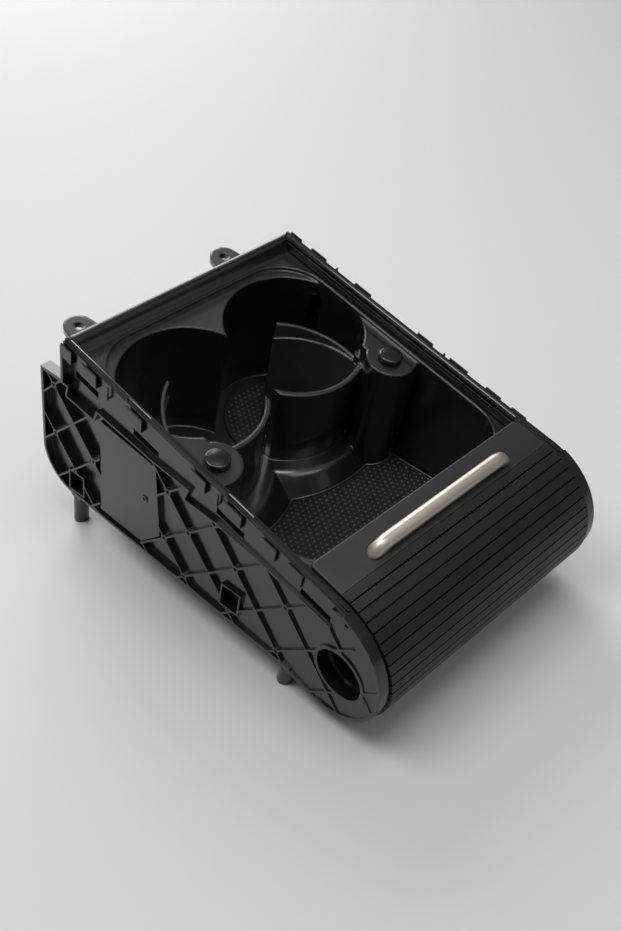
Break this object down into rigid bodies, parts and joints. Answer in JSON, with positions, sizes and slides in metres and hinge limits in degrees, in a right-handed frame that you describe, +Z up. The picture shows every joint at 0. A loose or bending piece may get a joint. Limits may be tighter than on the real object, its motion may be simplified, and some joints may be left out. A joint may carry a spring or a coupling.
{
  "type": "car cup holder",
  "caption": "Console cup holder with round cup wells, a front bin, sprung grip flaps and a slatted roll shutter that runs in side frames and is drawn rearwards by an arched handle.",
  "frame": {"origin": "midway between the two rear lug holes, on the face the lugs seat on", "axes": "+X to the right, -Y towards the round front end of the shutter, +Y to the rear lugs, +Z up"},
  "size_m": [0.1654, 0.2767, 0.1484],
  "materials": {
    "frame_plastic": "satin moulded black",
    "tub_plastic": "fine grained matte black",
    "slat_plastic": "satin charcoal",
    "handle_metal": "satin champagne silver",
    "mat_rubber": "matte with small raised dots",
    "flap_plastic": "satin black",
    "cap_plastic": "semi-gloss black",
    "pin_steel": "bright wire",
    "screw_steel": "dark plated"
  },
  "bodies": {
    "housing": {"left_side_frame": "frame_plastic", "right_side_frame": "frame_plastic", "tub": "tub_plastic", "rear_wall": "tub_plastic", "slat_curtain": "slat_plastic", "bin_mat": "mat_rubber", "left_cup_mat": "mat_rubber", "right_cup_mat": "mat_rubber", "left_flap_pin": "pin_steel", "right_flap_pin": "pin_steel", "left_flap_spring": "pin_steel", "right_flap_spring": "pin_steel", "left_post_cap": "cap_plastic", "right_post_cap": "cap_plastic", "rear_screws": "screw_steel"},
    "shutter": {"shutter_panel": "slat_plastic", "pull_handle": "handle_metal", "handle_screws": "screw_steel"},
    "left_flap": {"left_grip_flap": "flap_plastic"},
    "right_flap": {"right_grip_flap": "flap_plastic"}
  },
  "joints": [
    {"name": "shutter_slide", "type": "slide", "parent": "housing", "child": "shutter", "axis": [0, 1, 0], "range_m": [0, 0.168], "deforming": ["slat_curtain"]},
    {"name": "left_flap_hinge", "type": "hinge", "parent": "housing", "child": "left_flap", "pos_m": [-0.06305, -0.10761, -0.028], "axis": [0, 0, 1], "range_deg": [0, 18], "stiffness_Nm_per_rad": 0.05, "deforming": ["left_flap_spring"]},
    {"name": "right_flap_hinge", "type": "hinge", "parent": "housing", "child": "right_flap", "pos_m": [0.06305, -0.10761, -0.028], "axis": [0, 0, 1], "range_deg": [-18, 0], "stiffness_Nm_per_rad": 0.05, "deforming": ["right_flap_spring"]}
  ]
}
